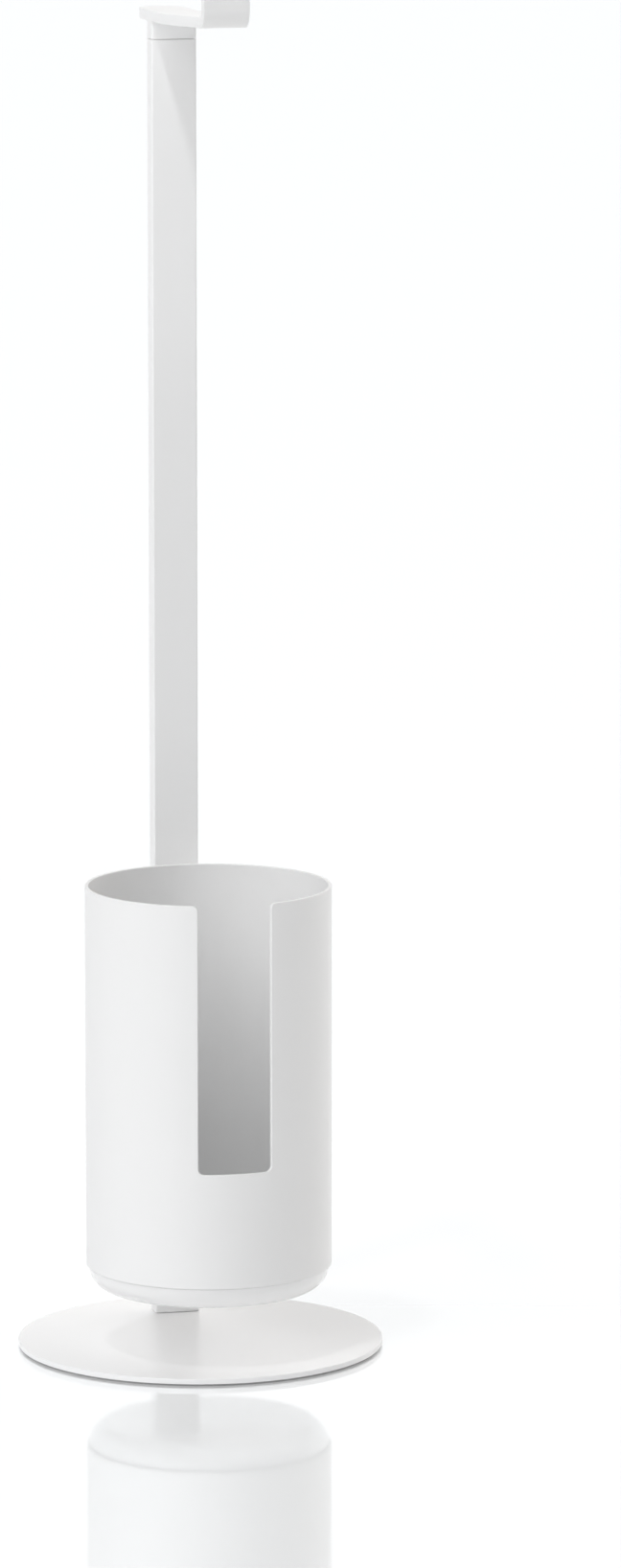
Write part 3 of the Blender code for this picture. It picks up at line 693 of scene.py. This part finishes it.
def bumped(tree, shader, layers):
    """Bumps over one another, each a height from 0 to 1 with its depth."""
    normal = None
    for height, depth in layers:
        inputs = {"Height": height, "Distance": depth, "Strength": 1.0}
        if normal:
            inputs["Normal"] = normal
        normal = add_node(tree, "Bump", inputs).outputs["Normal"]
    tree.links.new(normal, shader.inputs["Normal"])


def finish(name, colours, patch, roughness, mottle, bumps, **values):
    """A procedural finish, with values set on the shader's sockets.

    Its colour drifts between two by the noise patch, and its roughness between two by the noise mottle. Each
    bump is a noise and its depth. A noise is its wavelength, its detail and, where given, its roughness.
    """
    material, tree, shader = new_material(name, **values)
    place = add_node(tree, "TexCoord", {}).outputs["Object"]
    drift = spread(tree, noise(tree, place, *patch), 0, 1)
    tree.links.new(tinted(tree, drift, *colours), shader.inputs["Base Color"])
    tree.links.new(spread(tree, noise(tree, place, *mottle), *roughness), shader.inputs["Roughness"])
    bumped(tree, shader, [(noise(tree, place, *grain), depth) for grain, depth in bumps])
    return material


def coat(name, white, **glaze):
    """White powder coat: satin with a fine orange peel, and with a glaze on the pieces that reflect more."""
    return finish(
        name,
        colours=[[c * share for c in white] for share in COAT_DRIFT],
        patch=(60 * MM, 3.0),
        roughness=(0.3, 0.38),
        mottle=(5 * MM, 2.0),
        bumps=[((2.2 * MM, 1.5), 0.03 * MM), ((0.35 * MM, 2.0, 0.6), 0.004 * MM)],
        IOR=1.5,
        **glaze,
    )


def rays_that_see_white(tree):
    """1 for rays that see the plain white background: from the camera, a gloss or through glass."""
    path = add_node(tree, "LightPath", {})
    found = path.outputs["Is Camera Ray"]
    for name in ("Is Glossy Ray", "Is Transmission Ray"):
        found = add_node(tree, "Math", {0: found, 1: path.outputs[name]}, operation="MAXIMUM").outputs[0]
    return found


def make_floor():
    """A plain white floor with a soft mirror that is strongest at a low angle. Its glow lights nothing."""
    mesh = bpy.data.meshes.new("floor")
    reach = FLOOR_REACH
    corners = [(-reach, -reach, 0), (reach, -reach, 0), (reach, reach, 0), (-reach, reach, 0)]
    mesh.from_pydata(corners, [], [(0, 1, 2, 3)])
    floor = solid(mesh, place=(0, 0, -FLOOR_DROP))
    white = (FLOOR_WHITE, FLOOR_WHITE, FLOOR_WHITE, 1)
    material, tree, shader = new_material(
        "floor", Base_Color=white, Specular_IOR_Level=0.0, Emission_Color=(1, 1, 1, 1))
    glow = add_node(tree, "Math", {0: rays_that_see_white(tree), 1: FLOOR_GLOW}, operation="MULTIPLY")
    tree.links.new(glow.outputs[0], shader.inputs["Emission Strength"])
    gloss = add_node(tree, "BsdfAnisotropic", {"Color": (*FLOOR_TINT, 1), "Roughness": FLOOR_ROUGHNESS})
    low_angle = add_node(tree, "LayerWeight", {"Blend": FLOOR_BLEND}).outputs["Facing"]
    share = add_node(tree, "Math", {0: low_angle, 1: FLOOR_MIRROR_POWER}, operation="POWER")
    inputs = {"Fac": share.outputs[0], 1: shader.outputs[0], 2: gloss.outputs[0]}
    mix = add_node(tree, "MixShader", inputs)
    tree.links.new(mix.outputs[0], tree.nodes["Material Output"].inputs["Surface"])
    floor.data.materials.append(material)


def glow_of(tree, toward, tone, lobes):
    """A background in one tone whose strength is the sum of wide lobes."""
    level = 0.0
    for left, up, strength in lobes:
        left, up = math.radians(left), math.radians(up)
        unit = (-math.sin(left) * math.cos(up), -math.cos(left) * math.cos(up), math.sin(up))
        cosine = add_node(tree, "VectorMath", {0: toward, 1: unit}, operation="DOT_PRODUCT")
        lit = add_node(tree, "Math", {0: cosine.outputs["Value"], 1: 0.0}, operation="MAXIMUM")
        lobe = add_node(tree, "Math", {0: lit.outputs[0], 1: SOFT_POWER}, operation="POWER")
        inputs = {0: lobe.outputs[0], 1: strength, 2: level}
        level = add_node(tree, "Math", inputs, operation="MULTIPLY_ADD").outputs[0]
    return add_node(tree, "Background", {"Color": (*tone, 1), "Strength": level}).outputs[0]


def make_studio():
    """A white studio that lights the object softly from some sides, and looks plain white itself."""
    world = bpy.data.worlds.new("studio")
    bpy.context.scene.world = world
    world.use_nodes = True
    tree = world.node_tree
    tree.nodes.clear()
    toward = add_node(tree, "TexCoord", {}).outputs["Generated"]
    inputs = {0: glow_of(tree, toward, (1, 1, 1), SOFT_LOBES), 1: glow_of(tree, toward, WARM, WARM_LOBES)}
    soft = add_node(tree, "AddShader", inputs)
    white = add_node(tree, "Background", {"Color": (1, 1, 1, 1), "Strength": 1.0})
    inputs = {"Fac": rays_that_see_white(tree), 1: soft.outputs[0], 2: white.outputs[0]}
    mix = add_node(tree, "MixShader", inputs)
    add_node(tree, "OutputWorld", {"Surface": mix.outputs[0]})


def add_lamp(name, kind, toward, place=(0, 0, 0), **values):
    """A lamp at a place that shines in a direction, with its settings."""
    data = bpy.data.lights.new(name, kind)
    for key, value in values.items():
        setattr(data, key, value)
    lamp = bpy.data.objects.new(name, data)
    lamp.location = place
    lamp.rotation_euler = Vector(toward).to_track_quat("-Z", "Y").to_euler()
    lamp.visible_camera = False
    bpy.context.scene.collection.objects.link(lamp)


def make_lamps():
    """A small spot, for the arm's shadow on the post, and a weak sun from the upper left."""
    toward = Vector(KEY_AIM) - Vector(KEY_PLACE)
    cone = {"spot_size": KEY_CONE, "spot_blend": KEY_FADE}
    add_lamp("key", "SPOT", toward, KEY_PLACE, energy=KEY_POWER, shadow_soft_size=KEY_RADIUS, **cone)
    add_lamp("sun", "SUN", SUN_DIRECTION, energy=SUN_STRENGTH, angle=SUN_SPREAD)


def make_camera():
    """The camera, where the photograph was taken from."""
    camera = bpy.data.objects.new("camera", bpy.data.cameras.new("camera"))
    camera.location = CAMERA_PLACE
    camera.rotation_euler = (QUARTER - CAMERA_DOWN, 0, -CAMERA_LEFT)
    camera.data.lens = CAMERA_LENS
    bpy.context.scene.collection.objects.link(camera)
    bpy.context.scene.camera = camera


# The pad is drawn lighter than its rubber, as painted light: its grey lifts the shade in the gap under the
# disc, so that its line stays thin
FINISHES = {
    "powder_coat": coat("powder_coat", WHITE),
    # The disc's coat carries the lighter white, which is painted light
    "disc_coat": coat(
        "disc_coat",
        DISC_PAINTED_LIGHT_WHITE,
        Sheen_Weight=0.85,
        Sheen_Roughness=0.5,
        Coat_Weight=1.0,
        Coat_Roughness=0.25,
        Coat_IOR=1.5,
    ),
    "dish_coat": coat("dish_coat", WHITE, Coat_Weight=1.0, Coat_Roughness=0.08, Coat_IOR=1.5),
    "zinc_steel": finish(
        "zinc_steel",
        colours=((0.60, 0.62, 0.65), (0.71, 0.715, 0.72)),
        patch=(2.5 * MM, 3.0),
        roughness=(0.26, 0.42),
        mottle=(0.8 * MM, 3.0),
        bumps=[((0.25 * MM, 2.0, 0.6), 0.006 * MM)],
        Metallic=1.0,
    ),
    "rubber_pad": finish(
        "rubber_pad",
        # Painted light: a grey lighter than the dark rubber, which lifts the shade under the disc's edge
        colours=((0.4, 0.4, 0.402), (0.44, 0.44, 0.442)),
        patch=(8 * MM, 3.0),
        roughness=(0.72, 0.88),
        mottle=(1.5 * MM, 2.0),
        bumps=[((0.5 * MM, 3.0, 0.6), 0.05 * MM)],
        IOR=1.5,
    ),
    "moulded_plastic": finish(
        "moulded_plastic",
        colours=((0.81, 0.81, 0.80), (0.83, 0.83, 0.82)),
        patch=(12 * MM, 2.0),
        roughness=(0.46, 0.56),
        mottle=(1 * MM, 2.0),
        bumps=[((0.3 * MM, 2.0, 0.7), 0.02 * MM)],
        IOR=1.46,
    ),
}
make_camera()
make_base()
make_post()
make_arm()
make_tube()
make_dish()
make_spacers()
make_screws()
make_floor()
make_studio()
make_lamps()
bpy.context.scene.view_settings.view_transform = "Standard"
bpy.context.view_layer.update()
